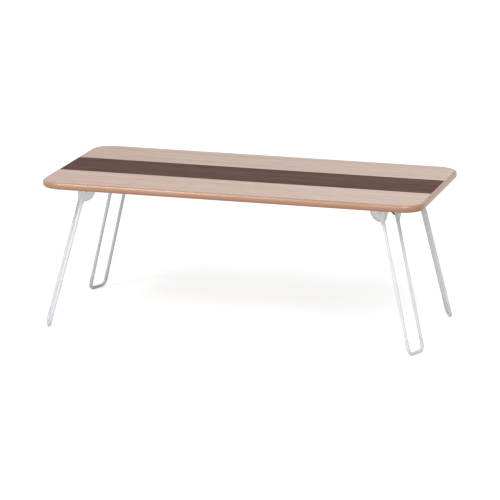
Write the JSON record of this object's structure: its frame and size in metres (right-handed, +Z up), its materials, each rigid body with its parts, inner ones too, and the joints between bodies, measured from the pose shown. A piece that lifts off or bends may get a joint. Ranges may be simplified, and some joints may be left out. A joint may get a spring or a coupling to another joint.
{
  "type": "folding low table",
  "caption": "Low rectangular table with rounded corners and a dark lengthwise stripe, on hairpin rod legs that fold inwards under the board.",
  "frame": {"origin": "middle of the table's footprint, on the floor plane under the feet", "axes": "+X along the length of the board, -Y the front (the light strip on that side is the narrower one), +Z up"},
  "size_m": [0.8034, 0.4, 0.312],
  "materials": {
    "board_core": "raw fibreboard, seen only in screw holes",
    "light_laminate": "light wood-grain film, satin",
    "dark_laminate": "dark wood-grain film, satin",
    "edge_band": "orange-brown wood-tone vinyl edging, satin",
    "backing": "plain balancing paper, matt",
    "white_steel": "white powder coat",
    "black_nylon": "black moulded nylon",
    "rivet_steel": "zinc-plated steel",
    "screw_steel": "zinc-plated steel",
    "clear_vinyl": "clear bluish vinyl tube"
  },
  "bodies": {
    "board": {"tabletop_core": "board_core", "laminate_front": "light_laminate", "laminate_stripe": "dark_laminate", "laminate_rear": "light_laminate", "edge_band": "edge_band", "backing_sheet": "backing", "bracket_front_left": "white_steel", "pivot_liners_front_left": "black_nylon", "pivot_rivets_front_left": "rivet_steel", "spring_washers_front_left": "rivet_steel", "bracket_screws_front_left": "screw_steel", "bracket_front_right": "white_steel", "pivot_liners_front_right": "black_nylon", "pivot_rivets_front_right": "rivet_steel", "spring_washers_front_right": "rivet_steel", "bracket_screws_front_right": "screw_steel", "bracket_rear_left": "white_steel", "pivot_liners_rear_left": "black_nylon", "pivot_rivets_rear_left": "rivet_steel", "spring_washers_rear_left": "rivet_steel", "bracket_screws_rear_left": "screw_steel", "bracket_rear_right": "white_steel", "pivot_liners_rear_right": "black_nylon", "pivot_rivets_rear_right": "rivet_steel", "spring_washers_rear_right": "rivet_steel", "bracket_screws_rear_right": "screw_steel"},
    "front_left_leg": {"leg_front_left": "white_steel", "foot_sleeve_front_left": "clear_vinyl"},
    "front_right_leg": {"leg_front_right": "white_steel", "foot_sleeve_front_right": "clear_vinyl"},
    "rear_left_leg": {"leg_rear_left": "white_steel", "foot_sleeve_rear_left": "clear_vinyl"},
    "rear_right_leg": {"leg_rear_right": "white_steel", "foot_sleeve_rear_right": "clear_vinyl"}
  },
  "joints": [
    {"name": "front_left_fold", "type": "hinge", "parent": "board", "child": "front_left_leg", "pos_m": [-0.321, -0.134, 0.288], "axis": [0.3665, -0.9304, 0], "range_deg": [0, 104.7]},
    {"name": "front_right_fold", "type": "hinge", "parent": "board", "child": "front_right_leg", "pos_m": [0.321, -0.134, 0.288], "axis": [0.3665, 0.9304, 0], "range_deg": [0, 104.7]},
    {"name": "rear_left_fold", "type": "hinge", "parent": "board", "child": "rear_left_leg", "pos_m": [-0.321, 0.134, 0.288], "axis": [-0.3665, -0.9304, 0], "range_deg": [0, 104.7]},
    {"name": "rear_right_fold", "type": "hinge", "parent": "board", "child": "rear_right_leg", "pos_m": [0.321, 0.134, 0.288], "axis": [-0.3665, 0.9304, 0], "range_deg": [0, 104.7]}
  ]
}
